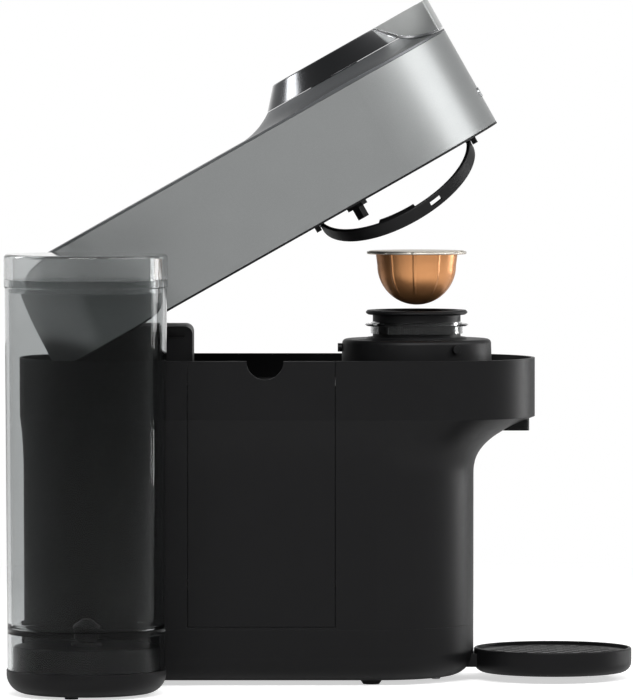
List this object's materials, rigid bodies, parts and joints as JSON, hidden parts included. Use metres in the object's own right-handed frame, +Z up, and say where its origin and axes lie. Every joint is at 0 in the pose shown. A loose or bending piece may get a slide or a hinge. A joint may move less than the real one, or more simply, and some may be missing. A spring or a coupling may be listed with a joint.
{
  "type": "pod coffee machine",
  "caption": "Pod coffee machine with a hinged head swung open, a lock lever, a spinning pod holder, a lift-off water tank, a slide-out used-pod container and a round drip tray.",
  "frame": {"origin": "centre of the underside of the whole machine at rest, on the counter", "axes": "+X forward to the cup tray, +Y to the machine's left, +Z up"},
  "size_m": [0.4276, 0.2535, 0.4634],
  "materials": {
    "body_black": "satin moulded black",
    "inner_black": "moulded black, fine texture",
    "head_grey": "satin metallic paint",
    "cover_gunmetal": "dark metallic paint",
    "disc_polished": "dark polished plate",
    "bright_trim": "bright plate",
    "handle_grey": "satin metallic paint",
    "clear_smoke": "clear smoke-tinted plastic",
    "clear": "clear plastic",
    "steel": "machined",
    "aluminium": "cast and machined",
    "pod_bronze": "lacquered foil, satin",
    "pod_foil": "embossed foil",
    "rubber": "moulded",
    "silicone": "extruded silicone",
    "board_green": "laminate board",
    "brass": "machined",
    "button": "metallised, satin"
  },
  "bodies": {
    "body": {"base_pan": "body_black", "main_housing": "body_black", "deck_plate": "inner_black", "rubber_feet": "rubber", "cord_gland": "inner_black", "hinge_pedestal": "inner_black", "hinge_bushes": "brass", "brew_base": "inner_black", "bayonet_pins": "steel", "spindle_bearing": "steel", "drive_motor": "aluminium", "water_pump": "inner_black", "flow_meter": "clear", "heater_block": "aluminium", "control_board": "board_green", "suction_hose": "silicone", "pressure_hose": "silicone", "coffee_duct": "inner_black", "coffee_outlet": "body_black"},
    "head": {"head_sleeve": "head_grey", "head_cover": "cover_gunmetal", "head_belly": "inner_black", "hinge_pin": "steel", "lever_bush": "brass", "button_board": "board_green"},
    "lever": {"lever_disc": "disc_polished", "lever_handle": "handle_grey", "lever_trim": "bright_trim", "lock_carrier": "inner_black", "ring_pins": "steel", "injector_bearing": "steel"},
    "lock_ring": {"lock_ring": "inner_black"},
    "injector": {"injector_plate": "inner_black", "pod_seal": "rubber"},
    "brew_button": {"brew_button": "button"},
    "pod_holder": {"pod_holder": "inner_black", "holder_ring": "clear", "drive_spindle": "steel"},
    "pod": {"pod_shell": "pod_bronze", "pod_foil": "pod_foil"},
    "used_pod_bin": {"used_pod_bin": "body_black"},
    "tank_base": {"tank_base": "body_black", "tank_feet": "rubber", "tank_coupling": "inner_black"},
    "tank": {"water_tank": "clear_smoke", "tank_valve": "inner_black"},
    "tank_lid": {"tank_lid": "clear_smoke"},
    "cup_tray": {"cup_tray": "body_black"},
    "cup_grid": {"cup_grid": "inner_black"}
  },
  "joints": [
    {"name": "head_hinge", "type": "hinge", "parent": "body", "child": "head", "pos_m": [-0.16774, 0.05595, 0.25], "axis": [0, -1, 0], "range_deg": [-29.5, 0]},
    {"name": "lock_lever", "type": "hinge", "parent": "head", "child": "lever", "pos_m": [0.0368, 0.05595, 0.36572], "axis": [-0.4924, 0, 0.8704], "range_deg": [0, 40]},
    {"name": "ring_tilt", "type": "hinge", "parent": "lever", "child": "lock_ring", "pos_m": [0.05255, 0.05595, 0.33787], "axis": [0.8704, 0, 0.4924], "range_deg": [-24.6, 0]},
    {"name": "injector_spin", "type": "hinge", "parent": "lever", "child": "injector", "pos_m": [0.0368, 0.05595, 0.36572], "axis": [-0.4924, 0, 0.8704], "continuous": true},
    {"name": "button_press", "type": "slide", "parent": "head", "child": "brew_button", "axis": [-0.8704, 0, -0.4924], "range_m": [0, 0.0015], "stiffness_N_per_m": 900},
    {"name": "holder_spin", "type": "hinge", "parent": "body", "child": "pod_holder", "pos_m": [0.06726, 0.05595, 0.24], "axis": [0, 0, 1], "continuous": true},
    {"name": "pod_lift", "type": "slide", "parent": "pod_holder", "child": "pod", "axis": [0, 0, 1], "range_m": [-0.0378, 0]},
    {"name": "bin_slide", "type": "slide", "parent": "body", "child": "used_pod_bin", "axis": [0, -1, 0], "range_m": [0, 0.115]},
    {"name": "tank_swivel", "type": "hinge", "parent": "body", "child": "tank_base", "pos_m": [-0.15774, 0.05595, 0], "axis": [0, 0, -1], "range_deg": [0, 90]},
    {"name": "tank_lift", "type": "slide", "parent": "tank_base", "child": "tank", "axis": [0, 0, 1], "range_m": [0, 0.045]},
    {"name": "lid_lift", "type": "slide", "parent": "tank", "child": "tank_lid", "axis": [0, 0, 1], "range_m": [0, 0.04]},
    {"name": "tray_pull", "type": "slide", "parent": "body", "child": "cup_tray", "axis": [1, 0, 0], "range_m": [0, 0.07]},
    {"name": "grid_lift", "type": "slide", "parent": "cup_tray", "child": "cup_grid", "axis": [0, 0, 1], "range_m": [0, 0.04]}
  ],
  "couplings": [
    {"joint": "ring_tilt", "follows": "head_hinge", "ratio": 0.83051},
    {"joint": "pod_lift", "follows": "head_hinge", "m_per_rad": 0.073222}
  ]
}
